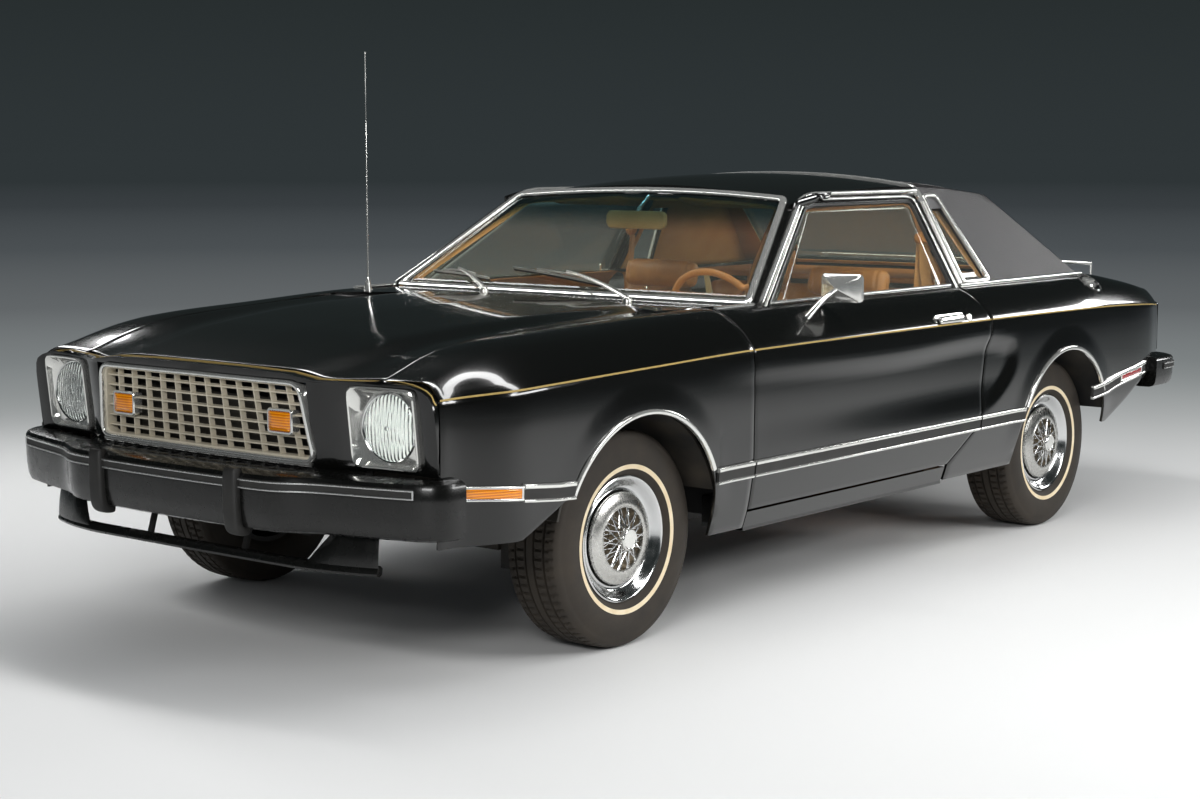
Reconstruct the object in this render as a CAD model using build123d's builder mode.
from build123d import *
import os
from math import cos, radians, sin, sqrt

os.makedirs("parts", exist_ok=True)

# Compact two-door notchback coupe. Millimetres, +Z up, front towards -Y, driver's side +X.
# The origin is on the ground, at mid-length, on the centreline.

# ---------------------------------------------------------------- driving dimensions
LENGTH = 4445.0             # over the bumper guards
WIDTH = 1782.0              # over the door skins
HEIGHT = 1270.0             # ground to roof peak
WHEELBASE = 2443.0
FRONT_OVERHANG = 960.0
TRACK = 1416.0
TYRE_R = 301.0
TYRE_WIDTH = 195.0
RIM_R = 165.0
BELT_Z = 898.0              # level of the window sills
SILL_Z = 272.0              # underside of the rockers
DOOR_LENGTH = 1380.0
DOOR_SET_BACK = 478.0       # front axle to the door's leading edge
DOOR_FOOT_Z = 326.0
DOOR_THICK = 72.0
SKIN = 11.0                 # outer panels
SHELL = 34.0                # roof and pillars
GAP = 7.0                   # shut gap round doors, hood and deck lid
SEAT = 0.3                  # where two pieces are seated on each other
TUMBLE_DEG = 29.6           # lean of the side glass
GLASS = 5.0

half_width = WIDTH / 2
front_y = -LENGTH / 2
rear_y = LENGTH / 2
front_axle = front_y + FRONT_OVERHANG
rear_axle = front_axle + WHEELBASE
door_front = front_axle + DOOR_SET_BACK
door_rear = door_front + DOOR_LENGTH
wheel_x = TRACK / 2

# stations along the length, from the axle each belongs to
nose_y = front_axle - 778.0
cowl_y = front_axle + 690.0
screen_y = front_axle + 667.0       # windscreen's foot on the centreline
header_y = screen_y + 463.0
backlight_y = rear_axle + 352.0     # backlight's foot on the centreline
tail_y = rear_y - 172.0
haunch_y = tail_y - 179.0           # where the deck starts to fall
seat_y = front_axle + 1262.5        # reference station of the front seats
firewall_y = front_axle + 640.0
heel_y = rear_axle - 600.0          # heel board under the rear seat
roof_peak_y = (header_y + rear_axle - 95.0) / 2

DECK_FRONT_Y = backlight_y + 36.0
DECK_REAR_Y = tail_y - GAP
DECK_HALF = 640.0
DECK_THICK = 14.0
SEAL_HALF = DECK_HALF - 40.0
SEAL_DROP = 1.8             # boot seal's top below the lid's underside at its front edge
DECK_CREASE_X = 420.0
DECK_CREASE_Z = BELT_Z + 7.0
DECK_SIDE_Z = BELT_Z - 1.0

trunk_rear = tail_y - 20.0
RAIL_X = 360.0              # front rails from the centreline
REAR_RAIL_X = 520.0
rail_front_y = front_axle - 780.0

# arches
FRONT_ARCH = (front_axle - 25.0, 325.0, 330.0)      # y, z, radius
REAR_ARCH = (rear_axle - 35.0, 310.0, 338.0)


def prism_x(points, x_from, x_to, mode=Mode.ADD):
    """Side-view outline (y, z) pushed along X."""
    with BuildSketch(Plane.YZ.offset(x_from)) as outline:
        with BuildLine():
            Polyline(*points, close=True)
        make_face()
    extrude(outline.sketch, amount=x_to - x_from, mode=mode)


def prism_y(points, y_from, y_to, mode=Mode.ADD):
    """Front-view outline (x, z) pushed along Y."""
    with BuildSketch(Plane.XZ.offset(-y_from)) as outline:
        with BuildLine():
            Polyline(*points, close=True)
        make_face()
    extrude(outline.sketch, amount=y_from - y_to, mode=mode)


def prism_z(points, z_from, z_to, mode=Mode.ADD):
    """Plan outline (x, y) pushed upwards."""
    with BuildSketch(Plane.XY.offset(z_from)) as outline:
        with BuildLine():
            Polyline(*points, close=True)
        make_face()
    extrude(outline.sketch, amount=z_to - z_from, mode=mode)


def block(x_from, x_to, y_from, y_to, z_from, z_to, mode=Mode.ADD):
    """Box between two corners."""
    with Locations(((x_from + x_to) / 2, (y_from + y_to) / 2, (z_from + z_to) / 2)):
        Box(abs(x_to - x_from), abs(y_to - y_from), abs(z_to - z_from), mode=mode)


def disc_x(y, z, r, x_from, x_to, mode=Mode.ADD):
    """Cylinder lying along X."""
    with BuildSketch(Plane.YZ.offset(x_from)) as outline:
        with Locations((y, z)):
            Circle(r)
    extrude(outline.sketch, amount=x_to - x_from, mode=mode)


def rod(start, end, r, mode=Mode.ADD):
    """Round bar from one point to another."""
    way = Vector(*end) - Vector(*start)
    with BuildSketch(Plane(origin=start, z_dir=way)) as outline:
        Circle(r)
    extrude(outline.sketch, amount=way.length, mode=mode)


def both_sides():
    """Add the mirror image across the centreline."""
    mirror(about=Plane.YZ)


def save(piece, name):
    piece.part.label = name
    export_step(piece.part, f"parts/{name}.step")


# ---------------------------------------------------------------- body side surface
# y, half width, shoulder z, crown x, crown z, inner x, inner z
SIDE = (
    (nose_y, half_width - 49.0, 748.0, half_width - 236.0, 786.0, half_width - 299.0, 783.0),
    (front_axle - 588.0, half_width - 23.0, 758.0, half_width - 223.0, 834.0, half_width - 303.0, 830.0),
    (front_axle - 402.0, half_width - 9.0, 766.0, half_width - 201.0, 868.0, half_width - 295.0, 861.0),
    (front_axle, half_width - 1.0, 778.0, half_width - 179.0, 886.0, half_width - 269.0, 882.0),
    (door_front - GAP / 2, half_width, 789.0, half_width - 149.0, BELT_Z, half_width - 219.0, BELT_Z),
    (door_rear, half_width, 790.0, half_width - 149.0, BELT_Z, half_width - 219.0, BELT_Z),
    (rear_axle, half_width - 1.0, 786.0, half_width - 151.0, BELT_Z, DECK_HALF + 15.0, BELT_Z),
    (backlight_y, half_width - 11.0, 780.0, half_width - 155.0, BELT_Z - 3.0, DECK_HALF, BELT_Z),
    (haunch_y, half_width - 31.0, 766.0, half_width - 163.0, 852.0, DECK_HALF, 862.0),
    (tail_y, half_width - 79.0, 752.0, half_width - 186.0, 822.0, DECK_HALF, 832.0),
)
LOWER = ((SILL_Z, 44.0), (330.0, 26.0), (425.0, 8.0), (470.0, 5.0), (600.0, 0.0))   # z, inset
ROLL_BULGE = 20.0           # how far the shoulder's roll stands out of its chord
WAYS_IN = ((-1.0, 0.0),) * 5 + ((-0.95, -0.3), (-0.7, -0.7), (-0.3, -0.95), (0.0, -1.0))


def side_section(row):
    """Outer points of one body-side section, from the sill up to the inner flange."""
    _, half, shoulder_z, crown_x, crown_z, inner_x, inner_z = row
    points = [(half - inset, z) for z, inset in LOWER]
    points.append((half - 7.0, shoulder_z))
    chord = (half - 7.0 - crown_x, crown_z - shoulder_z)
    span = sqrt(chord[0] ** 2 + chord[1] ** 2)
    points.append((
        half - 7.0 - chord[0] / 2 + ROLL_BULGE * chord[1] / span,
        shoulder_z + chord[1] / 2 + ROLL_BULGE * chord[0] / span,
    ))
    points.append((crown_x, crown_z))
    points.append((inner_x, inner_z))
    return points


def side_wall(rows, thick):
    """Ruled loft of the body side through rows, thick millimetres deep."""
    sections = []
    for row in rows:
        outer = side_section(row)
        inner = [(x + dx * thick, z + dz * thick) for (x, z), (dx, dz) in zip(outer, WAYS_IN)]
        with BuildSketch(Plane.XZ.offset(-row[0])) as outline:
            with BuildLine():
                Polyline(*outer, *reversed(inner), close=True)
            make_face()
        sections.append(outline.sketch)
    loft(sections, ruled=True)


DOOR_CUT = 251.0            # how far the door's foot ends ahead of its widest point
door_edge = (
    (door_front, DOOR_FOOT_Z),
    (door_front, BELT_Z + 60.0),
    (door_rear - 5.0, BELT_Z + 60.0),
    (door_rear - 5.0, BELT_Z),
    (door_rear, 790.0),
    (door_rear - 10.0, 738.0),
    (door_rear - 32.0, 669.0),
    (door_rear - 54.0, 530.0),
    (door_rear - 62.0, 470.0),
    (door_rear - 78.0, 440.0),
    (door_rear - DOOR_CUT, DOOR_FOOT_Z),
)


# side marker lamps let into the skins: y and x of the skin at both ends, and height
MARKER_OUT = 4.0
MARKER_DEEP = 7.0
AMBER_MARKER = (front_axle - 753.0, half_width - 48.9, front_axle - 515.0, half_width - 20.8, 500.0, 528.0)
RED_MARKER = (rear_axle + 419.0, half_width - 18.2, rear_axle + 608.0, half_width - 29.4, 512.0, 534.0)


def marker(place, clear, mode=Mode.ADD):
    """Marker lamp following the skin, or with a clearance the pocket it sits in."""
    y_from, x_from, y_to, x_to, low, high = place
    prism_z(((x_from - MARKER_DEEP - clear, y_from - clear), (x_from + MARKER_OUT, y_from - clear),
             (x_to + MARKER_OUT, y_to + clear), (x_to - MARKER_DEEP - clear, y_to + clear)),
            low - clear, high + clear, mode=mode)


def grown(points, centre, by):
    """Outline moved outwards by a gap, each point away from the outline's middle."""
    out = []
    for y, z in points:
        out.append((y + (by if y > centre[0] else -by), z + (by if z > centre[1] else -by)))
    return out


door_middle = ((door_front + door_rear) / 2, 560.0)
door_hole = grown(door_edge, door_middle, GAP)

# front fenders: wing skins from the nose seam to the door, open at the wheel
with BuildPart() as fenders:
    side_wall(SIDE[:5], SKIN)
    disc_x(FRONT_ARCH[0], FRONT_ARCH[1], FRONT_ARCH[2], 560.0, half_width + 20, mode=Mode.SUBTRACT)
    prism_x(((FRONT_ARCH[0] - FRONT_ARCH[2], FRONT_ARCH[1]), (FRONT_ARCH[0] + FRONT_ARCH[2], FRONT_ARCH[1]),
             (FRONT_ARCH[0] + FRONT_ARCH[2], 0.0), (FRONT_ARCH[0] - FRONT_ARCH[2], 0.0)),
            560.0, half_width + 20, mode=Mode.SUBTRACT)
    prism_x(((FRONT_ARCH[0], 460.0), (front_axle - 358.0, 460.0), (front_axle - 480.0, 385.0),
             (nose_y - 50.0, 385.0), (nose_y - 50.0, 0.0), (FRONT_ARCH[0], 0.0)),
            560.0, half_width + 20, mode=Mode.SUBTRACT)
    prism_x(door_hole, 560.0, half_width + 20, mode=Mode.SUBTRACT)
    marker(AMBER_MARKER, SEAT, Mode.SUBTRACT)
    both_sides()
save(fenders, "fenders")

# rear quarters: from the door to the tail, open at the wheel
with BuildPart() as quarters:
    side_wall(SIDE[4:], SKIN)
    disc_x(REAR_ARCH[0], REAR_ARCH[1], REAR_ARCH[2], 560.0, half_width + 20, mode=Mode.SUBTRACT)
    prism_x(((REAR_ARCH[0] - REAR_ARCH[2], REAR_ARCH[1]), (REAR_ARCH[0] + REAR_ARCH[2], REAR_ARCH[1]),
             (REAR_ARCH[0] + REAR_ARCH[2], 0.0), (REAR_ARCH[0] - REAR_ARCH[2], 0.0)),
            560.0, half_width + 20, mode=Mode.SUBTRACT)
    prism_x(((REAR_ARCH[0], 352.0), (rear_axle + 330.0, 352.0), (rear_axle + 460.0, 407.0),
             (tail_y - 270.0, 470.0), (tail_y + 60, 560.0), (tail_y + 60, 0.0), (REAR_ARCH[0], 0.0)),
            560.0, half_width + 20, mode=Mode.SUBTRACT)
    prism_x(door_hole, 560.0, half_width + 20, mode=Mode.SUBTRACT)
    block(560.0, half_width + 20, door_front - 60, door_rear - DOOR_CUT - GAP, 0.0, 1000.0, mode=Mode.SUBTRACT)
    marker(RED_MARKER, SEAT, Mode.SUBTRACT)
    both_sides()
    # panel under the backlight, from side to side
    channel_y = DECK_FRONT_Y - GAP
    block(-DECK_HALF, DECK_HALF, backlight_y - 24.0, channel_y, BELT_Z - 14.0, BELT_Z - SEAT)
    # drip channel that carries the boot seal under the lid's front edge
    block(-SEAL_HALF, SEAL_HALF, channel_y - 10.0, channel_y, BELT_Z - 32.0, BELT_Z - 14.0)
    block(-SEAL_HALF, SEAL_HALF, channel_y - 10.0, DECK_FRONT_Y + 20.0, BELT_Z - 32.0, BELT_Z - 26.0)
    prism_y(((-SEAL_HALF, BELT_Z - 32.0), (SEAL_HALF, BELT_Z - 32.0),
             (SEAL_HALF, DECK_SIDE_Z - DECK_THICK - SEAL_DROP),
             (DECK_CREASE_X, DECK_CREASE_Z - DECK_THICK - SEAL_DROP),
             (-DECK_CREASE_X, DECK_CREASE_Z - DECK_THICK - SEAL_DROP),
             (-SEAL_HALF, DECK_SIDE_Z - DECK_THICK - SEAL_DROP)), DECK_FRONT_Y + 8.0, DECK_FRONT_Y + 20.0)
save(quarters, "quarters")

# rockers: box sills under the doors
rocker_front = door_front
rocker_rear = door_rear - DOOR_CUT - GAP
rocker_top = DOOR_FOOT_Z - GAP
ROCKER_IN = 700.0
DOOR_IN = half_width - 26.0 - DOOR_THICK       # door's inner face at its foot
rocker_profile = ((ROCKER_IN, 262.0), (half_width - 44.0, 262.0), (half_width - 44.0, SILL_Z),
                  (half_width - 29.0, rocker_top), (DOOR_IN - 9.0, rocker_top), (DOOR_IN - 9.0, 352.0),
                  (ROCKER_IN, 352.0))
with BuildPart() as rockers:
    prism_y(rocker_profile, rocker_front, rocker_rear)
    both_sides()
save(rockers, "rockers")

# ---------------------------------------------------------------- greenhouse
ROOF_FAR_R = 5075.0         # lengthwise crown
ROOF_CROSS_R = 3780.0       # crosswise crown
SCREEN_SLOPE = (0.0, 463.0, 318.0)
BACKLIGHT_SLOPE = (0.0, -437.0, 300.0)
SIDE_FOOT_X = 750.0
GREEN_TOP = 1500.0


def far_plane(angle):
    """Plane through the roof's far lengthwise axis, leaning by angle from upright."""
    lean = radians(angle)
    return Plane(origin=(0, roof_peak_y, HEIGHT - ROOF_FAR_R), x_dir=(1, 0, 0),
                 z_dir=(0, -cos(lean), -sin(lean)))


def crown(inset):
    """Everything under the doubly curved roof, moved inwards by inset."""
    r = ROOF_FAR_R - inset
    w = 900.0
    drop = ROOF_CROSS_R - sqrt(ROOF_CROSS_R ** 2 - w ** 2)
    with BuildSketch(far_plane(16.0)) as outline:
        with BuildLine():
            ThreePointArc((-w, r - drop), (0, r), (w, r - drop))
            Polyline((w, r - drop), (w, r - 900.0), (-w, r - 900.0), (-w, r - drop))
        make_face()
    axis = Axis((0, roof_peak_y, HEIGHT - ROOF_FAR_R), (-1, 0, 0))
    return revolve(outline.sketch, axis=axis, revolution_arc=32.0, mode=Mode.PRIVATE)


def end_face(foot_y, corner_y, inset, slope, front, mode):
    """Everything behind (or ahead of) a curved, sloping screen."""
    side = 1.0 if front else -1.0
    foot = foot_y + side * inset
    corner = corner_y + side * inset
    far = foot + side * 2600.0
    w = 900.0
    bow = (corner - foot) * (w / 700.0) ** 2
    with BuildSketch(Plane.XY.offset(BELT_Z)) as outline:
        with BuildLine():
            ThreePointArc((-w, foot + bow), (0, foot), (w, foot + bow))
            Polyline((w, foot + bow), (w, far), (-w, far), (-w, foot + bow))
        make_face()
    length = Vector(*slope).length * 1.9
    extrude(outline.sketch, amount=length, dir=slope, mode=mode)


def greenhouse(inset, foot_z):
    """Cabin's upper solid, moved inwards by inset."""
    lean = radians(TUMBLE_DEG)
    foot_x = SIDE_FOOT_X - inset / cos(lean)
    top_x = foot_x - (GREEN_TOP - BELT_Z) * sin(lean) / cos(lean)
    rise = Vector(*SCREEN_SLOPE).length / SCREEN_SLOPE[2]
    with BuildPart() as body:
        end_face(screen_y, screen_y + 42.0, inset * rise, SCREEN_SLOPE, True, Mode.ADD)
        end_face(backlight_y, backlight_y - 40.0, inset * rise, BACKLIGHT_SLOPE, False, Mode.INTERSECT)
        prism_y(((-foot_x, foot_z), (foot_x, foot_z), (top_x, GREEN_TOP), (-top_x, GREEN_TOP)),
                screen_y - 300, backlight_y + 300, mode=Mode.INTERSECT)
        add(crown(inset), mode=Mode.INTERSECT)
    return body.part


side_lean = radians(TUMBLE_DEG)
side_plane = Plane(origin=(SIDE_FOOT_X, 0, BELT_Z), x_dir=(0, 1, 0), z_dir=(cos(side_lean), 0, sin(side_lean)))

door_frame_out = (
    (door_front - 22.0, -14.0), (screen_y + 460.0, 338.0), (screen_y + 520.0, 350.0),
    (door_rear - 60.0, 350.0), (door_rear - 12.0, 338.0), (door_rear - 5.0, -14.0),
)
OPERA = ((door_rear + 46.0, 14.0), (door_rear + 46.0, 336.0), (door_rear + 126.0, 336.0), (door_rear + 216.0, 14.0))


def side_panel(points, outside, inside, mode=Mode.ADD):
    """Outline (y, height up the leaning side) pushed through the side wall."""
    with BuildSketch(side_plane.offset(outside)) as outline:
        with BuildLine():
            Polyline(*points, close=True)
        make_face()
    extrude(outline.sketch, amount=-(outside + inside), mode=mode)


def inner_outline(points, by):
    """Convex outline moved inwards by a constant width."""
    middle = (sum(p[0] for p in points) / len(points), sum(p[1] for p in points) / len(points))
    moved = []
    count = len(points)
    for i, point in enumerate(points):
        before = Vector(*points[i - 1], 0)
        here = Vector(*point, 0)
        after = Vector(*points[(i + 1) % count], 0)
        a = (here - before).normalized()
        b = (after - here).normalized()
        bend = a.cross(b).Z
        turn = 1.0 if (Vector(*middle, 0) - here).dot(Vector(-a.Y, a.X, 0)) > 0 else -1.0
        normal_a = Vector(-a.Y, a.X, 0) * turn
        normal_b = Vector(-b.Y, b.X, 0) * turn
        share = 1 + normal_a.dot(normal_b)
        step = (normal_a + normal_b) * (by / share)
        moved.append(((here + step).X, (here + step).Y))
    return tuple(moved)


DOOR_FRAME = 26.0
band_y = door_rear + 20.0
SCREEN_HOLE = ((-672.0, BELT_Z + 14), (-525.0, 1182.0), (0.0, 1206.0), (525.0, 1182.0), (672.0, BELT_Z + 14))
BACKLIGHT_HOLE = ((-628.0, BELT_Z + 14), (-530.0, 1168.0), (0.0, 1196.0), (530.0, 1168.0), (628.0, BELT_Z + 14))

roof_outer = greenhouse(0.0, BELT_Z)
roof_inner = greenhouse(SHELL, BELT_Z - 10)


def roof_shell():
    """Roof, pillars and side walls with every window cut."""
    add(roof_outer)
    add(roof_inner, mode=Mode.SUBTRACT)
    prism_y(SCREEN_HOLE, screen_y - 200, header_y + 120, mode=Mode.SUBTRACT)
    prism_y(BACKLIGHT_HOLE, backlight_y - 520, backlight_y + 200, mode=Mode.SUBTRACT)
    with BuildPart(mode=Mode.PRIVATE) as openings:
        side_panel(inner_outline(door_frame_out, -GAP), 40.0, 90.0)
        side_panel(OPERA, 40.0, 90.0)
        both_sides()
    add(openings.part, mode=Mode.SUBTRACT)


# roof panel with the windscreen pillars
with BuildPart() as roof_panel:
    roof_shell()
    split(bisect_by=Plane.XZ.offset(-band_y), keep=Keep.TOP)
save(roof_panel, "roof_panel")

# padded half roof with the rear pillars
with BuildPart() as half_roof:
    roof_shell()
    split(bisect_by=Plane.XZ.offset(-band_y), keep=Keep.BOTTOM)
save(half_roof, "half_roof")

# fixed glass: windscreen, backlight and opera windows
GLASS_IN = 10.0             # glass face below the roof skin
glass_outer = greenhouse(GLASS_IN, BELT_Z)
glass_inner = greenhouse(GLASS_IN + GLASS, BELT_Z - 10)
with BuildPart() as fixed_glass:
    with BuildPart(mode=Mode.PRIVATE) as panes:
        add(glass_outer)
        add(glass_inner, mode=Mode.SUBTRACT)
    with BuildPart(mode=Mode.PRIVATE) as ends:
        prism_y(inner_outline(SCREEN_HOLE, SEAT), screen_y - 200, header_y + 110)
        prism_y(inner_outline(BACKLIGHT_HOLE, SEAT), backlight_y - 510, backlight_y + 200)
    with BuildPart(mode=Mode.PRIVATE) as sides:
        side_panel(inner_outline(OPERA, SEAT), 0.0, 90.0)
        both_sides()
    add(panes.part)
    with BuildPart(mode=Mode.PRIVATE) as keep:
        add(ends.part)
        add(sides.part)
    add(keep.part, mode=Mode.INTERSECT)
save(fixed_glass, "fixed_glass")

# ---------------------------------------------------------------- doors
HANDLE_Z = 792.0
MIRROR_OUT_X = half_width + 39.0
MIRROR_DEPTH = 62.0


def door_shell(name_side):
    """One door: thick lower panel, window frame, handle, and the mirror on the driver's."""
    side_wall(SIDE[4:6], DOOR_THICK)
    with BuildPart(mode=Mode.PRIVATE) as outline:
        prism_x(door_edge, 500.0, half_width + 20)
    add(outline.part, mode=Mode.INTERSECT)
    with BuildPart(mode=Mode.PRIVATE) as frame:
        side_panel(door_frame_out, 0.0, 28.0)
        side_panel(inner_outline(door_frame_out, DOOR_FRAME), 1.0, 30.0, mode=Mode.SUBTRACT)
        block(300.0, half_width, door_front - 90, door_rear + 90, 0.0, BELT_Z, mode=Mode.SUBTRACT)
    add(frame.part)
    # groove for the window glass
    side_panel(inner_outline(door_frame_out, DOOR_FRAME - 4), SEAT - GLASS_IN, GLASS_IN + GLASS + SEAT,
               mode=Mode.SUBTRACT)
    # paddle handle and the lock behind it
    prism_x(((door_rear - 298, HANDLE_Z - 4), (door_rear - 284, HANDLE_Z - 13), (door_rear - 136, HANDLE_Z - 11),
             (door_rear - 128, HANDLE_Z - 2), (door_rear - 136, HANDLE_Z + 7), (door_rear - 284, HANDLE_Z + 13)),
            half_width - 24.0, half_width - 1.0)
    disc_x(door_rear - 92.0, HANDLE_Z - 2.0, 13.0, half_width - 24.0, half_width - 2.0)
    if name_side == "driver":
        rod((790.0, door_front + 475.0, 850.0), (MIRROR_OUT_X - 68.0, door_front + 500.0, 905.0), 11.0)
        mirror_y = door_front + 526.0
        with BuildSketch(Plane.XZ.offset(-mirror_y)) as glass_end:
            with Locations((MIRROR_OUT_X - 72.0, 938.0)):
                RectangleRounded(144.0, 86.0, 14.0)
        with BuildSketch(Plane.XZ.offset(MIRROR_DEPTH - mirror_y)) as blunt_end:
            with Locations((MIRROR_OUT_X - 76.0, 936.0)):
                RectangleRounded(70.0, 34.0, 8.0)
        loft([glass_end.sketch, blunt_end.sketch])


with BuildPart() as door_left:
    door_shell("driver")
save(door_left, "door_left")

with BuildPart() as door_right:
    with BuildPart(mode=Mode.PRIVATE) as door_blank:
        door_shell("passenger")
    mirror(door_blank.part, about=Plane.YZ)
save(door_right, "door_right")


with BuildPart() as door_glass_left:
    side_panel(inner_outline(door_frame_out, DOOR_FRAME - 3.7), -GLASS_IN, GLASS_IN + GLASS)
    block(300.0, half_width, door_front - 90, door_rear + 90, 0.0, BELT_Z - 3.0, mode=Mode.SUBTRACT)
save(door_glass_left, "door_glass_left")

with BuildPart() as door_glass_right:
    mirror(door_glass_left.part, about=Plane.YZ)
save(door_glass_right, "door_glass_right")

# ---------------------------------------------------------------- hood, cowl and nose
HOOD_THICK = 16.0
# y, centre z, crease x, crease z, side x, side z
HOOD = (
    (nose_y + 4.0, 800.0, half_width - 545.0, 796.0, half_width - 305.0, 783.0),
    (front_axle - 402.0, 866.0, half_width - 507.0, 860.0, half_width - 301.0, 861.0),
    (front_axle, 894.0, half_width - 451.0, 888.0, half_width - 275.0, 882.0),
    (cowl_y - 90.0, 906.0, half_width - 439.0, 901.0, half_width - 229.0, 898.0),
)
HOOD_REAR_Y = front_axle + 535.0      # on the centreline
HOOD_CORNER_Y = front_axle + 300.0
HOOD_CORNER_X = 650.0


def lid_skin(rows, thick):
    """Full-width crowned panel through rows of (y, centre z, crease x, crease z, side x, side z)."""
    sections = []
    for y, centre_z, crease_x, crease_z, side_x, side_z in rows:
        top = [(-side_x, side_z), (-crease_x, crease_z), (0.0, centre_z), (crease_x, crease_z), (side_x, side_z)]
        under = [(x, z - thick) for x, z in reversed(top)]
        with BuildSketch(Plane.XZ.offset(-y)) as outline:
            with BuildLine():
                Polyline(*top, *under, close=True)
            make_face()
        sections.append(outline.sketch)
    loft(sections, ruled=True)


def arc_region(x_end, y_end, y_middle, y_far, z_from, z_to, mode):
    """Plan region between an arc across the car and a straight line at y_far."""
    with BuildSketch(Plane.XY.offset(z_from)) as outline:
        with BuildLine():
            ThreePointArc((-x_end, y_end), (0, y_middle), (x_end, y_end))
            Polyline((x_end, y_end), (x_end, y_far), (-x_end, y_far), (-x_end, y_end))
        make_face()
    extrude(outline.sketch, amount=z_to - z_from, mode=mode)


with BuildPart() as hood:
    lid_skin(HOOD, HOOD_THICK)
    arc_region(HOOD_CORNER_X + 40, HOOD_CORNER_Y - 30, HOOD_REAR_Y, nose_y - 300, 600.0, 1000.0, Mode.INTERSECT)
save(hood, "hood")

# cowl panel between hood, fenders and windscreen
COWL_SIDE = half_width - 219.0 - SEAT
COWL_FRONT_SIDE = half_width - 275.0
with BuildPart() as cowl_panel:
    arc_region(HOOD_CORNER_X + 40, HOOD_CORNER_Y - 30 + GAP, HOOD_REAR_Y + GAP, screen_y + 60, BELT_Z - 14.0,
               BELT_Z - SEAT, Mode.ADD)
    arc_region(760.0, screen_y + 50.0, screen_y + 2.0, nose_y - 300, 600.0, 1000.0, Mode.INTERSECT)
    prism_z(((COWL_FRONT_SIDE, front_axle), (COWL_SIDE, door_front), (COWL_SIDE, 0.0), (-COWL_SIDE, 0.0),
             (-COWL_SIDE, door_front), (-COWL_FRONT_SIDE, front_axle)), 600.0, 1000.0, mode=Mode.INTERSECT)
save(cowl_panel, "cowl_panel")

# nose panel round grille and lamps
NOSE_FACE_Y = front_axle - 838.0
NOSE_SIDE_Y = front_axle - 800.0
NOSE_BACK_Y = nose_y - SEAT
NOSE_LOW_Z = 556.0
GRILLE_HALF = 412.0
GRILLE_LOW_Z = 571.0
GRILLE_TOP_Z = 769.0
LAMP_X = 627.0
LAMP_Z = 667.0
LAMP_R = 89.0
BEZEL = 96.0
BEZEL_FACE_Y = front_axle - 810.0
with BuildPart() as nose_panel:
    prism_y(((-838.0, NOSE_LOW_Z), (838.0, NOSE_LOW_Z), (840.0, 600.0), (832.0, 748.0), (655.0, 783.0), (420.0, 789.0),
             (0.0, 798.0), (-420.0, 789.0), (-655.0, 783.0), (-832.0, 748.0), (-840.0, 600.0)),
            NOSE_FACE_Y - 30, NOSE_BACK_Y)
    arc_region(900.0, NOSE_SIDE_Y + 60.0, NOSE_FACE_Y, 0.0, 400.0, 1000.0, Mode.INTERSECT)
    block(-GRILLE_HALF, GRILLE_HALF, NOSE_FACE_Y - 60, 0.0, GRILLE_LOW_Z, GRILLE_TOP_Z, mode=Mode.SUBTRACT)
    for side in (-1, 1):
        block(side * LAMP_X - BEZEL, side * LAMP_X + BEZEL, NOSE_FACE_Y - 60, 0.0, LAMP_Z - BEZEL, LAMP_Z + BEZEL,
              mode=Mode.SUBTRACT)
save(nose_panel, "nose_panel")

GRILLE_FACE_Y = NOSE_FACE_Y + 14.0
GRILLE_DEPTH = 30.0
GRILLE_COLUMNS = 12
GRILLE_ROWS = 6
GRILLE_BAR = 8.0
GRILLE_RIM = 16.0
AMBER_X = 313.0
with BuildPart() as grille:
    rim_in = GRILLE_HALF - SEAT - GRILLE_RIM
    low, high = GRILLE_LOW_Z + SEAT, GRILLE_TOP_Z - SEAT
    block(-GRILLE_HALF + SEAT, GRILLE_HALF - SEAT, GRILLE_FACE_Y, GRILLE_FACE_Y + GRILLE_DEPTH, low, high)
    cell_x = (2 * rim_in + GRILLE_BAR) / GRILLE_COLUMNS
    cell_z = (high - low - 2 * GRILLE_RIM + GRILLE_BAR) / GRILLE_ROWS
    with BuildSketch(Plane.XZ.offset(-GRILLE_FACE_Y + 5)) as cells:
        with Locations((0, (low + high) / 2)):
            with GridLocations(cell_x, cell_z, GRILLE_COLUMNS, GRILLE_ROWS):
                Rectangle(cell_x - GRILLE_BAR, cell_z - GRILLE_BAR)
    extrude(cells.sketch, amount=-(GRILLE_DEPTH + 10), mode=Mode.SUBTRACT)
save(grille, "grille")

# headlamps in square bezels, with shell and lens
with BuildPart() as headlamps:
    block(LAMP_X - BEZEL + SEAT, LAMP_X + BEZEL - SEAT, BEZEL_FACE_Y, NOSE_BACK_Y, LAMP_Z - BEZEL + SEAT,
          LAMP_Z + BEZEL - SEAT)
    with BuildSketch(Plane.XZ.offset(-BEZEL_FACE_Y)) as bowl:
        with Locations((LAMP_X, LAMP_Z)):
            Circle(LAMP_R + 4)
    extrude(bowl.sketch, amount=-22.0, mode=Mode.SUBTRACT)
    with BuildSketch(Plane.XZ.offset(-BEZEL_FACE_Y - 6)) as lens:
        with Locations((LAMP_X, LAMP_Z)):
            Circle(LAMP_R)
    extrude(lens.sketch, amount=-18.0)
    both_sides()
save(headlamps, "headlamps")

# amber lamps behind the grille's face
with BuildPart() as amber_lamps:
    block(AMBER_X - 36.0, AMBER_X + 36.0, GRILLE_FACE_Y + GRILLE_DEPTH + SEAT, GRILLE_FACE_Y + GRILLE_DEPTH + 22,
          LAMP_Z - 24, LAMP_Z + 24)
    marker(AMBER_MARKER, 0.0)
    both_sides()
save(amber_lamps, "amber_lamps")

# ---------------------------------------------------------------- bumpers and valance
BUMPER_LOW_Z = 400.0
BUMPER_TOP_Z = 552.0
REAR_LOW_Z = 440.0
REAR_TOP_Z = 560.0
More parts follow.
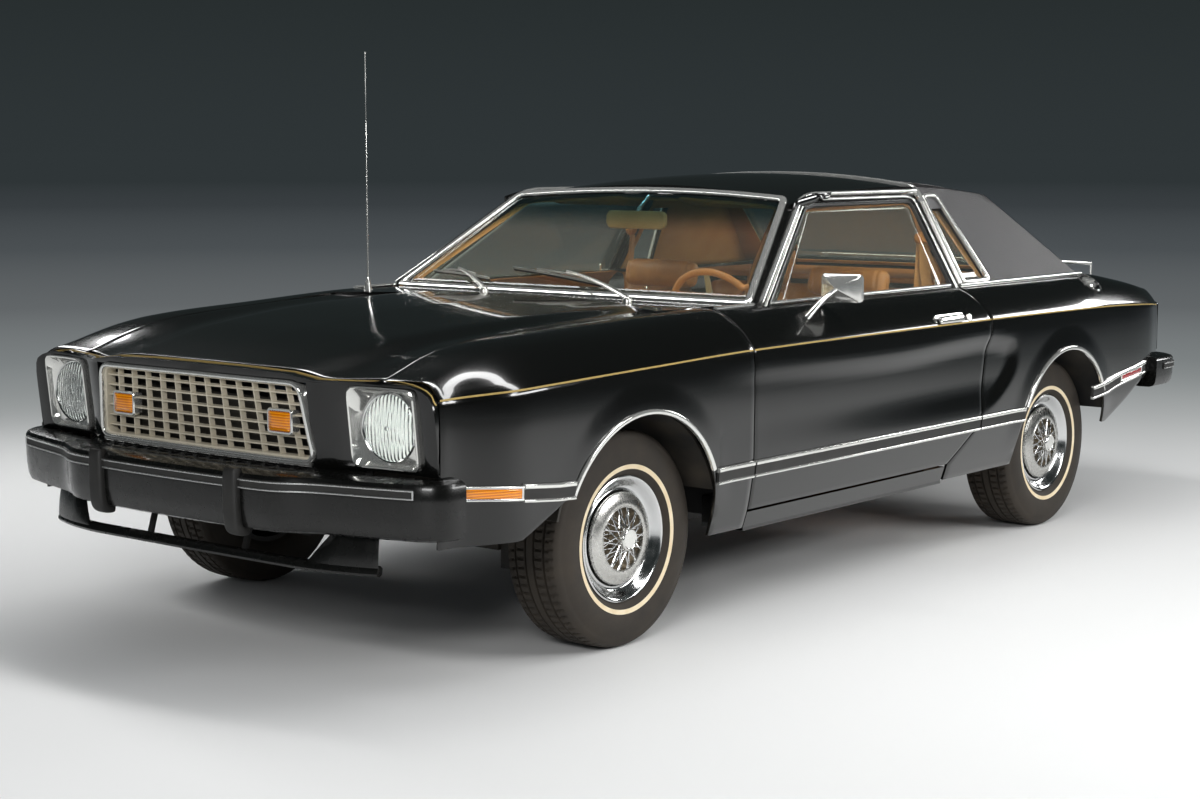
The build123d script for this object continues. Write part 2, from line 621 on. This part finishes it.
# rows up a bumper's face: share of its height, and how far the face is set back there
BUMPER_ROWS = ((0.0, 14.0), (0.07, 5.0), (0.2, 1.0), (0.66, 0.0), (0.69, -4.0), (0.86, -4.0), (0.89, 0.0),
               (0.95, 4.0), (1.0, 14.0))
GUARD_X = 270.0
REAR_GUARD_X = 390.0
GUARD_HALF = 27.0
GUARD_CHAMFER = 8.0
# side-view outlines (y from the guard's face, z): over the bar's top and under it
FRONT_GUARD = ((14.0, 384.0), (2.0, 410.0), (0.0, 430.0), (0.0, 536.0), (12.0, 562.0), (70.0, 562.0), (70.0, 384.0))
REAR_GUARD = ((-52.0, 306.0), (-26.0, 330.0), (0.0, 440.0), (0.0, 548.0), (-10.0, 570.0), (-62.0, 570.0),
              (-62.0, 436.0), (-72.0, 330.0))
# plan points of the face, from the centreline outwards (x, y from the front axle)
FRONT_FACE = ((0.0, -945.0), (419.0, -925.0), (495.0, -889.0), (half_width - 61.0, -835.0),
              (half_width - 3.0, -800.0), (half_width - 3.0, -750.0))
FRONT_BACK = ((half_width - 31.0, -750.0), (half_width - 35.0, -786.0), (half_width - 79.0, -806.0), (480.0, -850.0),
              (0.0, -880.0))
# plan points from the rear end
REAR_FACE = ((0.0, -14.0), (500.0, -26.0), (half_width - 91.0, -72.0), (half_width - 19.0, -127.0),
             (half_width - 9.0, -352.0))
REAR_BACK = ((half_width - 29.0, -352.0), (half_width - 45.0, -142.0), (half_width - 111.0, -112.0), (500.0, -82.0),
             (0.0, -72.0))


def set_back(points, by, inwards):
    """Face points moved square to the face, towards the car's middle."""
    moved = []
    for i, (x, y) in enumerate(points):
        before, after = points[max(i - 1, 0)], points[min(i + 1, len(points) - 1)]
        run, rise = after[0] - before[0], after[1] - before[1]
        span = sqrt(run ** 2 + rise ** 2)
        moved.append((x - by * inwards * rise / span if i else 0.0, y + by * inwards * run / span))
    return moved


def bumper_bar(face, back, station, low, high, inwards):
    """Bar with a strip along its face: plan outlines lofted up through the face's rows."""
    layers = []
    for share, by in BUMPER_ROWS:
        right = [(x, station + y) for x, y in set_back(face, by, inwards) + list(back)]
        left = [(-x, y) for x, y in reversed(right) if x > 0]
        with BuildSketch(Plane.XY.offset(low + share * (high - low))) as outline:
            with BuildLine():
                Polyline(*right, *left, close=True)
            make_face()
        layers.append(outline.sketch)
    loft(layers, ruled=True)


def guard(x, y_face, side_outline, forwards):
    """Upright bumper guard, its face's edges chamfered, hooked over the bar and under it."""
    y_cut = y_face + forwards * GUARD_CHAMFER
    y_back = y_face + forwards * 90.0
    with BuildPart(mode=Mode.PRIVATE) as upright:
        prism_x([(y_face + y, z) for y, z in side_outline], x - GUARD_HALF, x + GUARD_HALF)
        prism_z(((x - GUARD_HALF, y_back), (x - GUARD_HALF, y_cut), (x - GUARD_HALF + GUARD_CHAMFER, y_face),
                 (x + GUARD_HALF - GUARD_CHAMFER, y_face), (x + GUARD_HALF, y_cut), (x + GUARD_HALF, y_back)),
                0.0, HEIGHT, mode=Mode.INTERSECT)
    add(upright.part)


with BuildPart() as front_bumper:
    bumper_bar(FRONT_FACE, FRONT_BACK, front_axle, BUMPER_LOW_Z, BUMPER_TOP_Z, 1)
    for side in (-1, 1):
        block(side * RAIL_X - 30, side * RAIL_X + 30, front_axle - 875.0, rail_front_y - SEAT, 404.0, 456.0)
save(front_bumper, "front_bumper")

with BuildPart() as rear_bumper:
    bumper_bar(REAR_FACE, REAR_BACK, rear_y, REAR_LOW_Z, REAR_TOP_Z, -1)
    for side in (-1, 1):
        block(side * REAR_RAIL_X - 26, side * REAR_RAIL_X + 26, trunk_rear + SEAT, rear_y - 80.0, 404.0, 460.0)
save(rear_bumper, "rear_bumper")

with BuildPart() as bumper_guards:
    guard(GUARD_X, front_y, FRONT_GUARD, 1)
    guard(REAR_GUARD_X, rear_y, REAR_GUARD, -1)
    both_sides()
    add(front_bumper.part, mode=Mode.SUBTRACT)
    add(rear_bumper.part, mode=Mode.SUBTRACT)
save(bumper_guards, "bumper_guards")

# front valance and air dam under the bumper
with BuildPart() as front_valance:
    for low, high, inset in ((300.0, 322.0, 0.0), (378.0, 398.0, 12.0)):
        prism_z(((-700.0, front_axle - 777.0), (-420.0, front_axle - 851.0), (420.0, front_axle - 851.0),
                 (700.0, front_axle - 777.0), (700.0, front_axle - 745.0), (410.0, front_axle - 815.0),
                 (-410.0, front_axle - 815.0), (-700.0, front_axle - 745.0)), low, high)
    for x in (-690.0, -400.0, 400.0, 690.0):
        y = front_axle - 851.0 if abs(x) < 500 else front_axle - 777.0
        block(x - 10, x + 10, y + 6, y + 30, 322.0, 378.0)
    for side in (-1, 1):
        block(side * RAIL_X - 14, side * RAIL_X + 14, front_axle - 840.0, rail_front_y + 40.0, 366.0, 380.0 - SEAT)
save(front_valance, "front_valance")


# ---------------------------------------------------------------- tail
# y, centre z, crease x, crease z, side x, side z
DECK = (
    (DECK_FRONT_Y, BELT_Z + 8.0, DECK_CREASE_X, DECK_CREASE_Z, DECK_HALF - GAP, DECK_SIDE_Z),
    (haunch_y, 884.0, DECK_CREASE_X, 882.0, DECK_HALF - GAP, 862.0),
    (DECK_REAR_Y, 850.0, DECK_CREASE_X, 848.0, DECK_HALF - GAP, 834.0),
)
with BuildPart() as deck_lid:
    lid_skin(DECK, DECK_THICK)
save(deck_lid, "deck_lid")



def deck_z(x, y):
    """Height of the lid's upper face, from its own rows."""
    for near, far in zip(DECK, DECK[1:]):
        if y <= far[0]:
            break
    share = (y - near[0]) / (far[0] - near[0])
    _, centre_z, crease_x, crease_z, side_x, side_z = [a + (b - a) * share for a, b in zip(near, far)]
    if abs(x) < crease_x:
        return centre_z + (crease_z - centre_z) * abs(x) / crease_x
    return crease_z + (side_z - crease_z) * (abs(x) - crease_x) / (side_x - crease_x)


RACK_BARS = (-0.36, -0.12, 0.12, 0.36)
RACK_FRONT_Y = tail_y - 310.0
RACK_REAR_Y = tail_y - 40.0
RACK_HALF = DECK_HALF - 95.0
RACK_R = 7.0
CROSS_R = 6.0
POST_R = 5.0
RACK_Z = 922.0
RACK_FALL = 18.0            # the rack follows the lid down to the rear
with BuildPart() as luggage_rack:
    foot_rise = 1.2         # lets the flat feet clear the sloping lid
    rack_ends = ((RACK_FRONT_Y, RACK_Z), (RACK_REAR_Y, RACK_Z - RACK_FALL))
    for x in (-RACK_HALF, RACK_HALF):
        rod((x, RACK_FRONT_Y - 9, RACK_Z + 0.6), (x, RACK_REAR_Y + 9, RACK_Z - RACK_FALL - 0.6), RACK_R)
        for y, z in rack_ends:
            rod((x, y, deck_z(x, y) + foot_rise), (x, y, z), POST_R)
    for y, z in rack_ends:
        rod((-RACK_HALF, y, z), (RACK_HALF, y, z), CROSS_R)
    for share in RACK_BARS:
        x = share * 2 * RACK_HALF
        rod((x, RACK_FRONT_Y, RACK_Z), (x, RACK_REAR_Y, RACK_Z - RACK_FALL), POST_R)
save(luggage_rack, "luggage_rack")

TAIL_THICK = 46.0
TAIL_HALF = half_width - 91.0
LAMP_IN_X = 440.0
LAMP_OUT_X = 740.0
LAMP_LOW_Z = 612.0
LAMP_HIGH_Z = 762.0
tail_face = tail_y + TAIL_THICK
with BuildPart() as tail_panel:
    prism_y(((-TAIL_HALF, 575.0), (TAIL_HALF, 575.0), (TAIL_HALF + 2.0, 752.0), (TAIL_HALF - 98.0, 816.0),
             (DECK_HALF, 829.0), (-DECK_HALF, 829.0), (-TAIL_HALF + 98.0, 816.0), (-TAIL_HALF - 2.0, 752.0)),
            tail_y + SEAT, tail_face)
    for side in (-1, 1):
        block(side * LAMP_IN_X, side * LAMP_OUT_X, tail_y + 12, tail_face + 5, LAMP_LOW_Z, LAMP_HIGH_Z,
              mode=Mode.SUBTRACT)
save(tail_panel, "tail_panel")

with BuildPart() as tail_lamps:
    block(LAMP_IN_X + SEAT, LAMP_OUT_X - SEAT, tail_y + 12 + SEAT, tail_face + 3, LAMP_LOW_Z + SEAT,
          LAMP_HIGH_Z - SEAT)
    marker(RED_MARKER, 0.0)
    both_sides()
save(tail_lamps, "tail_lamps")

# ---------------------------------------------------------------- floor and inner body
FLOOR_TOP = 272.0
FLOOR_THICK = 10.0
TUNNEL_HALF = 150.0
TUNNEL_TOP = 452.0
PLATE = 8.0
TRUNK_Z = 470.0
LOAD_MAT = 5.0
LOAD_HALF = 500.0
bulkhead_y = rear_axle - 200.0
with BuildPart() as floor_pan:
    block(-ROCKER_IN + SEAT, ROCKER_IN - SEAT, firewall_y, heel_y, FLOOR_TOP - FLOOR_THICK, FLOOR_TOP)
    block(-TUNNEL_HALF, TUNNEL_HALF, firewall_y, heel_y, FLOOR_TOP - FLOOR_THICK, TUNNEL_TOP)
    block(-TUNNEL_HALF + PLATE, TUNNEL_HALF - PLATE, firewall_y - 5, heel_y + 5, 0.0, TUNNEL_TOP - PLATE,
          mode=Mode.SUBTRACT)
    # firewall
    prism_y(((-ROCKER_IN + SEAT, FLOOR_TOP - FLOOR_THICK), (ROCKER_IN - SEAT, FLOOR_TOP - FLOOR_THICK),
             (ROCKER_IN - SEAT, 700.0), (655.0, 760.0), (655.0, BELT_Z - 14.0 - SEAT),
             (-655.0, BELT_Z - 14.0 - SEAT), (-655.0, 760.0), (-ROCKER_IN + SEAT, 700.0)),
            firewall_y - PLATE, firewall_y)
    block(-TUNNEL_HALF + PLATE, TUNNEL_HALF - PLATE, firewall_y - 20, firewall_y + 5, 0.0, TUNNEL_TOP - PLATE,
          mode=Mode.SUBTRACT)
    # heel board and boot floor
    block(-560.0, 560.0, heel_y, heel_y + PLATE, FLOOR_TOP - FLOOR_THICK, TRUNK_Z)
    block(-560.0, 560.0, heel_y, trunk_rear, TRUNK_Z - PLATE, TRUNK_Z)
    block(-TUNNEL_HALF + PLATE, TUNNEL_HALF - PLATE, heel_y - 5, heel_y + 20, 0.0, TUNNEL_TOP - PLATE,
          mode=Mode.SUBTRACT)
    # raised load mat between the wheel housings
    block(-LOAD_HALF, LOAD_HALF, bulkhead_y + 60.0, trunk_rear - 120.0, TRUNK_Z, TRUNK_Z + LOAD_MAT)
save(floor_pan, "floor_pan")

# frame rails and cross-members under the floor
RAIL_HALF = 32.0
with BuildPart() as frame_rails:
    for side in (-1, 1):
        block(side * RAIL_X - RAIL_HALF, side * RAIL_X + RAIL_HALF, rail_front_y, firewall_y - PLATE - SEAT,
              380.0, 460.0)
        block(side * RAIL_X - RAIL_HALF, side * RAIL_X + RAIL_HALF, firewall_y - 220.0, door_rear - 300.0,
              196.0, FLOOR_TOP - FLOOR_THICK)
        prism_x(((firewall_y - 220.0, 196.0), (firewall_y - 160.0, 196.0), (firewall_y - 160.0, 380.0),
                 (firewall_y - 360.0, 380.0)), side * RAIL_X - RAIL_HALF, side * RAIL_X + RAIL_HALF)
        block(side * RAIL_X - RAIL_HALF, side * RAIL_X + RAIL_HALF, front_axle - 70.0, front_axle + 70.0,
              232.0, 380.0)
    block(-RAIL_X, RAIL_X, front_axle - 70.0, front_axle + 70.0, 232.0, 264.0)
    block(-RAIL_X, RAIL_X, front_axle - 775.0, front_axle - 745.0, 400.0, 450.0)
with BuildPart() as rear_rails:
    for side in (-1, 1):
        block(side * REAR_RAIL_X - 30, side * REAR_RAIL_X + 30, heel_y + PLATE + SEAT, trunk_rear, 400.0,
              TRUNK_Z - PLATE)
        block(side * REAR_RAIL_X - 30, side * REAR_RAIL_X + 30, heel_y + PLATE + SEAT, heel_y + 70, 344.0, 400.0)
        block(side * REAR_RAIL_X - 30, side * REAR_RAIL_X + 30, rear_axle + 560.0, rear_axle + 620.0, 350.0, 400.0)
    block(-REAR_RAIL_X, REAR_RAIL_X, trunk_rear - 40.0, trunk_rear, 410.0, TRUNK_Z - PLATE)
with BuildPart() as rails:
    add(frame_rails.part)
    add(rear_rails.part)
save(rails, "frame_rails")

# front inner structure: aprons, wheel housings and radiator support
APRON_X = 436.0
HOUSE_R = 352.0
with BuildPart() as inner_front:
    for side in (-1, 1):
        x_in, x_out = side * APRON_X, side * (APRON_X + PLATE)
        prism_x(((nose_y + 30.0, 430.0), (firewall_y - PLATE - SEAT, 430.0), (firewall_y - PLATE - SEAT, 840.0),
                 (front_axle, 830.0), (nose_y + 30.0, 745.0)), x_in, x_out)
        disc_x(front_axle, TYRE_R, HOUSE_R + PLATE, x_out, side * 845.0)
        disc_x(front_axle, TYRE_R, HOUSE_R, x_out, side * 850.0, mode=Mode.SUBTRACT)
        block(side * 400.0, side * 900.0, front_axle - 500, front_axle + 500, -200.0, 400.0, mode=Mode.SUBTRACT)
        block(side * (RAIL_X + RAIL_HALF) + side * SEAT, x_out, front_axle - 700, firewall_y - PLATE - SEAT,
              430.0, 450.0)
    block(-700.0, 700.0, nose_y + 10.0, nose_y + 30.0, 460.0 + SEAT, 720.0)
    block(-330.0, 330.0, nose_y, nose_y + 40.0, 480.0, 690.0, mode=Mode.SUBTRACT)
save(inner_front, "inner_front")

# rear inner structure: wheel housings, seat bulkhead and parcel shelf
REAR_HOUSE_IN = 566.0
SHELF_Z = 872.0
with BuildPart() as inner_rear:
    for side in (-1, 1):
        disc_x(rear_axle, TYRE_R + 10, HOUSE_R + PLATE, side * REAR_HOUSE_IN, side * 852.0)
        disc_x(rear_axle, TYRE_R + 10, HOUSE_R, side * (REAR_HOUSE_IN + PLATE), side * 860.0, mode=Mode.SUBTRACT)
        block(side * 500.0, side * 900.0, rear_axle - 500, rear_axle + 500, -200.0, 400.0, mode=Mode.SUBTRACT)
    block(-REAR_HOUSE_IN, REAR_HOUSE_IN, bulkhead_y, bulkhead_y + PLATE, TRUNK_Z + SEAT, SHELF_Z)
    block(-650.0, 650.0, bulkhead_y, backlight_y - 20.0, SHELF_Z, SHELF_Z + PLATE)
save(inner_rear, "inner_rear")


# ---------------------------------------------------------------- cabin
DASH_REAR_Y = screen_y + 255.0
STEER_X = 350.0
STEER_R = 190.0
STEER_Z = 805.0
STEER_Y = front_axle + 1046.0
COLUMN_DEG = 25.0
column_way = Vector(0, cos(radians(COLUMN_DEG)), sin(radians(COLUMN_DEG)))
steer_centre = Vector(STEER_X, STEER_Y, STEER_Z)
with BuildPart() as dashboard:
    prism_x(((firewall_y + SEAT, 660.0), (firewall_y + SEAT, BELT_Z - 20.0), (DASH_REAR_Y - 90, 872.0),
             (DASH_REAR_Y, 850.0), (DASH_REAR_Y - 30.0, 700.0), (DASH_REAR_Y - 90.0, 660.0)), -650.0, 650.0)
    rod(tuple(steer_centre - column_way * 280.0), tuple(steer_centre - column_way * 46.0), 27.0)
save(dashboard, "dashboard")

with BuildPart() as steering_wheel:
    with Locations(Plane(origin=steer_centre, x_dir=(1, 0, 0), z_dir=column_way)):
        Torus(STEER_R - 11.0, 11.0)
    rod(tuple(steer_centre - column_way * 46.0 + column_way * SEAT), tuple(steer_centre - column_way * 8.0), 32.0)
    for turn in (-90.0, 15.0, 165.0):
        spoke = Vector(cos(radians(turn)), 0, 0) + column_way.cross(Vector(1, 0, 0)) * sin(radians(turn))
        rod(tuple(steer_centre - column_way * 22.0), tuple(steer_centre + spoke * (STEER_R - 12.0)), 8.0)
save(steering_wheel, "steering_wheel")

SEAT_X = 402.0
SEAT_HALF = 240.0
CUSHION_TOP = 470.0
HEADREST_HALF = 165.0
with BuildPart() as front_seats:
    cushion = ((-190.0, FLOOR_TOP), (-190.0, 300.0), (-230.0, 330.0), (-230.0, 440.0), (-150.0, CUSHION_TOP + 10),
               (290.0, CUSHION_TOP - 30), (300.0, 330.0), (240.0, FLOOR_TOP))
    backrest = ((270.0, 400.0), (290.0, 480.0), (420.0, 830.0), (500.0, 845.0), (520.0, 815.0), (400.0, 400.0))
    headrest = ((415.0, 838.0), (400.0, 880.0), (425.0, 948.0), (475.0, 955.0), (505.0, 925.0), (498.0, 838.0))
    for outline, half in ((cushion, SEAT_HALF), (backrest, SEAT_HALF), (headrest, HEADREST_HALF)):
        prism_x([(seat_y + y, z) for y, z in outline], SEAT_X - half, SEAT_X + half)
    both_sides()
save(front_seats, "front_seats")

with BuildPart() as rear_seat:
    prism_x(((heel_y - 30.0, 330.0), (heel_y - 40.0, 480.0), (heel_y - 5.0, 520.0), (heel_y + 40.0, 524.0),
             (bulkhead_y - 120.0, 500.0), (bulkhead_y - 120.0, TRUNK_Z + SEAT),
             (heel_y - SEAT, TRUNK_Z + SEAT), (heel_y - SEAT, 330.0)), -555.0, 555.0)
    prism_x(((bulkhead_y - 150.0, TRUNK_Z + SEAT), (bulkhead_y - 150.0, 500.0), (bulkhead_y - 90.0, 840.0),
             (bulkhead_y - 40.0, 868.0), (bulkhead_y - SEAT, 868.0), (bulkhead_y - SEAT, TRUNK_Z + SEAT)),
            -555.0, 555.0)
    block(-TUNNEL_HALF - SEAT, TUNNEL_HALF + SEAT, heel_y - 60, heel_y + 8, 0.0, TUNNEL_TOP + SEAT,
          mode=Mode.SUBTRACT)
save(rear_seat, "rear_seat")

with BuildPart() as console:
    prism_x(((DASH_REAR_Y - 90.0, TUNNEL_TOP + SEAT), (DASH_REAR_Y - 90.0, 655.0), (DASH_REAR_Y - 30.0, 650.0),
             (DASH_REAR_Y + 90.0, 500.0), (seat_y + 160.0, 490.0), (seat_y + 160.0, TUNNEL_TOP + SEAT)), -80.0, 80.0)
    rod((0, seat_y - 150.0, 480.0), (0, seat_y - 190.0, 590.0), 9.0)
save(console, "console")

with BuildPart() as inner_mirror:
    with Locations((0.0, header_y - 74.0, HEIGHT - 152.0)):
        Box(250.0, 26.0, 62.0)
    rod((0.0, header_y - 74.0, HEIGHT - 130.0), (0.0, header_y - 62.0, HEIGHT - 64.0), 7.0)
    add(glass_outer, mode=Mode.INTERSECT)
    add(glass_inner, mode=Mode.INTERSECT)
save(inner_mirror, "inner_mirror")

# ---------------------------------------------------------------- engine, drive line, fuel
ENGINE_FRONT_Y = front_axle - 300.0
ENGINE_REAR_Y = front_axle + 400.0
SHAFT_Z = 335.0
with BuildPart() as engine_block:
    block(-310.0, 310.0, ENGINE_FRONT_Y, ENGINE_REAR_Y, 264.0 + SEAT, 800.0)
    block(-RAIL_X - 40, RAIL_X + 40, front_axle - 800, ENGINE_REAR_Y + 60, 100.0, 372.0, mode=Mode.SUBTRACT)
    block(-220.0, 220.0, ENGINE_FRONT_Y + 40, ENGINE_REAR_Y - 40, 264.0 + SEAT, 372.0)
save(engine_block, "engine_block")

with BuildPart() as radiator:
    block(-320.0, 320.0, nose_y + 30.0 + SEAT, nose_y + 85.0, 472.0, 715.0)
save(radiator, "radiator")

GEARBOX_R = 100.0
SHAFT_R = 38.0
DIFF_R = 118.0
with BuildPart() as drive_line:
    rod((0, ENGINE_REAR_Y + SEAT, SHAFT_Z), (0, firewall_y + 330.0, SHAFT_Z), GEARBOX_R)
    rod((0, firewall_y + 330.0, SHAFT_Z), (0, rear_axle - 191.2, TYRE_R + 8), SHAFT_R)
save(drive_line, "drive_line")

EXHAUST_R = 26.0
with BuildPart() as exhaust:
    with BuildLine() as pipe_route:
        FilletPolyline((-215.0, ENGINE_REAR_Y - 100.0, 230.0), (-215.0, heel_y - 250.0, 230.0),
                       (-240.0, heel_y + 110.0, 236.0), (-260.0, rear_axle - 190.0, 405.0),
                       (-260.0, rear_axle + 120.0, 405.0), (-330.0, rear_axle + 400.0, 330.0),
                       (-400.0, tail_y + 30.0, 330.0), radius=90.0)
    with BuildSketch(Plane(origin=pipe_route.line @ 0, z_dir=pipe_route.line % 0)) as pipe_section:
        Circle(EXHAUST_R)
    sweep(pipe_section.sketch, path=pipe_route.line)
    with BuildSketch(Plane.XZ.offset(-(rear_axle + 480.0))) as can:
        with Locations((-345.0, 330.0)):
            Ellipse(90.0, 58.0)
    extrude(can.sketch, amount=-330.0)
    # hanger up to the boot floor
    block(-355.0, -335.0, rear_axle + 640.0, rear_axle + 660.0, 380.0, TRUNK_Z - PLATE - SEAT)
save(exhaust, "exhaust")

with BuildPart() as fuel_tank:
    block(-180.0, 420.0, rear_axle + 240.0, rear_axle + 720.0, 300.0, TRUNK_Z - PLATE - SEAT)
    fillet(fuel_tank.edges().filter_by(Axis.Z), 40.0)
save(fuel_tank, "fuel_tank")

# ---------------------------------------------------------------- suspension
KING_X = 665.0
BALL_LOW = 198.0
SPRING_SEAT_X = 556.0       # keeps the tyre clear at full lock
BALL_HIGH = 405.0
KNUCKLE_R = 17.0
with BuildPart() as front_arms:
    prism_z(((RAIL_X + RAIL_HALF + SEAT, front_axle - 60.0), (KING_X, front_axle - 22.0),
             (KING_X, front_axle + 22.0), (RAIL_X + RAIL_HALF + SEAT, front_axle + 60.0)), 180.0, BALL_LOW - SEAT)
    with BuildSketch(Plane.XY.offset(180.0)) as low_ball:
        with Locations((KING_X, front_axle)):
            Circle(22.0)
    extrude(low_ball.sketch, amount=BALL_LOW - SEAT - 180.0)
    block(RAIL_X + RAIL_HALF + SEAT, RAIL_X + RAIL_HALF + 34, front_axle - 60, front_axle + 60, 180.0, 262.0)
    with BuildSketch(Plane.XY.offset(BALL_LOW - SEAT)) as coil:
        with Locations((530.0, front_axle)):
            Circle(46.0)
            Circle(36.0, mode=Mode.SUBTRACT)
    extrude(coil.sketch, amount=300.0)
    prism_z(((APRON_X + PLATE + SEAT, front_axle - 52.0), (KING_X, front_axle - 20.0),
             (KING_X, front_axle + 20.0), (APRON_X + PLATE + SEAT, front_axle + 52.0)), BALL_HIGH + SEAT, 424.0)
    with BuildSketch(Plane.XY.offset(BALL_HIGH + SEAT)) as high_ball:
        with Locations((KING_X, front_axle)):
            Circle(20.0)
    extrude(high_ball.sketch, amount=424.0 - BALL_HIGH - SEAT)
    block(APRON_X + PLATE + SEAT, SPRING_SEAT_X, front_axle - 52.0, front_axle + 52.0, 498.0 - SEAT, 520.0)
    both_sides()
save(front_arms, "front_arms")

SPINDLE_R = 18.0
HUB_CLEAR = 0.06
with BuildPart() as knuckle_left:
    rod((KING_X, front_axle, BALL_LOW), (KING_X, front_axle, BALL_HIGH), KNUCKLE_R)
    disc_x(front_axle, TYRE_R, SPINDLE_R, KING_X, wheel_x + 40.0)
    disc_x(front_axle, TYRE_R, 34.0, KING_X - 14.0, KING_X + 14.0)
    rod((KING_X, front_axle, 262.0), (KING_X - 26.0, front_axle + 118.0, 262.0), 10.0)
save(knuckle_left, "knuckle_left")

with BuildPart() as knuckle_right:
    mirror(knuckle_left.part, about=Plane.YZ)
save(knuckle_right, "knuckle_right")

AXLE_R = 38.0
AXLE_END = wheel_x - 28.0
SPRING_HALF = 28.0
with BuildPart() as rear_axle_beam:
    disc_x(rear_axle, TYRE_R, AXLE_R, -AXLE_END, AXLE_END)
    disc_x(rear_axle, TYRE_R, SPINDLE_R, -wheel_x - 40.0, wheel_x + 40.0)
    with Locations((0, rear_axle, TYRE_R)):
        Sphere(DIFF_R)
    rod((0, rear_axle, TYRE_R), (0, rear_axle - 190.0 + SEAT, TYRE_R + 8), 58.0)
    for side in (-1, 1):
        with BuildSketch(Plane.YZ.offset(side * REAR_RAIL_X - SPRING_HALF)) as leaf:
            with BuildLine():
                upper = ThreePointArc((heel_y + 14, 344.0 - SEAT), (rear_axle, 262.0), (rear_axle + 590.0, 350.0 - SEAT))
                lower = ThreePointArc((heel_y + 14, 326.0), (rear_axle, 238.0), (rear_axle + 590.0, 332.0))
                Line(upper @ 0, lower @ 0)
                Line(upper @ 1, lower @ 1)
            make_face()
        extrude(leaf.sketch, amount=2 * SPRING_HALF)
        block(side * REAR_RAIL_X - 34, side * REAR_RAIL_X + 34, rear_axle - 45, rear_axle + 45, 250.0, TYRE_R)
save(rear_axle_beam, "rear_axle")

# ---------------------------------------------------------------- wheels and tyres
FLANGE_R = 176.0
RIM_HALF = 74.0
HUB_R = 34.0
# x outwards from the wheel's middle, radius
WHEEL_PROFILE = (
    (-RIM_HALF, RIM_R - 6.0), (-RIM_HALF, FLANGE_R), (-RIM_HALF + 4.0, FLANGE_R), (-RIM_HALF + 4.0, RIM_R),
    (RIM_HALF - 4.0, RIM_R), (RIM_HALF - 4.0, FLANGE_R), (RIM_HALF, FLANGE_R), (RIM_HALF + 4.0, FLANGE_R - 7.0),
    (RIM_HALF - 14.0, 134.0), (RIM_HALF - 8.0, 128.0), (RIM_HALF + 4.0, 122.0), (RIM_HALF + 6.0, 92.0),
    (RIM_HALF + 14.0, 84.0), (RIM_HALF + 22.0, 34.0), (RIM_HALF + 28.0, 30.0), (RIM_HALF + 31.0, 0.0),
    (44.0, 0.0), (44.0, SPINDLE_R + HUB_CLEAR), (-12.0, SPINDLE_R + HUB_CLEAR), (-12.0, 118.0), (-2.0, 118.0),
    (-2.0, HUB_R), (30.0, HUB_R), (40.0, 120.0), (40.0, RIM_R - 6.0),
)
TREAD_HALF = 74.0
SIDE_HALF = TYRE_WIDTH / 2
TYRE_PROFILE = (
    (-RIM_HALF + 5.0, RIM_R + SEAT), (-RIM_HALF + 5.0, FLANGE_R + 1.5), (-RIM_HALF - 6.0, FLANGE_R + 6.0),
    (-SIDE_HALF, 228.0), (-SIDE_HALF + 6.0, 268.0), (-TREAD_HALF, TYRE_R - 4.0), (-TREAD_HALF + 14.0, TYRE_R),
    (TREAD_HALF - 14.0, TYRE_R), (TREAD_HALF, TYRE_R - 4.0), (SIDE_HALF - 6.0, 268.0), (SIDE_HALF, 228.0),
    (RIM_HALF + 6.0, FLANGE_R + 6.0), (RIM_HALF - 5.0, FLANGE_R + 1.5), (RIM_HALF - 5.0, RIM_R + SEAT),
)


def turned(profile, x_middle, y, outwards):
    """Revolve a profile of (x outwards, radius) about a wheel's axle."""
    plane = Plane(origin=(x_middle, y, TYRE_R), x_dir=(outwards, 0, 0), z_dir=(0, -outwards, 0))
    with BuildSketch(plane) as outline:
        with BuildLine():
            Polyline(*profile, close=True)
        make_face()
    revolve(outline.sketch, axis=Axis((x_middle, y, TYRE_R), (1, 0, 0)))


for corner, outwards, axle_y in (("fl", 1, front_axle), ("fr", -1, front_axle), ("rl", 1, rear_axle),
                                 ("rr", -1, rear_axle)):
    with BuildPart() as wheel:
        turned(WHEEL_PROFILE, outwards * wheel_x, axle_y, outwards)
    save(wheel, f"wheel_{corner}")
    with BuildPart() as tyre:
        turned(TYRE_PROFILE, outwards * wheel_x, axle_y, outwards)
    save(tyre, f"tyre_{corner}")

# ---------------------------------------------------------------- small outside pieces
ANTENNA_X = 251.0 - half_width
ANTENNA_Y = front_axle + 449.0
ANTENNA_TOP = 1668.0
with BuildPart() as antenna:
    with BuildSketch(Plane.XY.offset(BELT_Z - SEAT)) as boss:
        with Locations((ANTENNA_X, ANTENNA_Y)):
            Circle(15.0)
    extrude(boss.sketch, amount=20.0)
    rod((ANTENNA_X, ANTENNA_Y, BELT_Z + 10.0), (ANTENNA_X, ANTENNA_Y, ANTENNA_TOP), 3.0)
save(antenna, "antenna")

with BuildPart() as wipers:
    for x in (425.0, -227.0):
        rod((x, front_axle + 560.0, BELT_Z - SEAT), (x, front_axle + 560.0, BELT_Z + 22.0), 11.0)
        rod((x, front_axle + 560.0, BELT_Z + 14.0), (x - 300.0, screen_y - 34.0, BELT_Z + 26.0), 6.0)
save(wipers, "wipers")
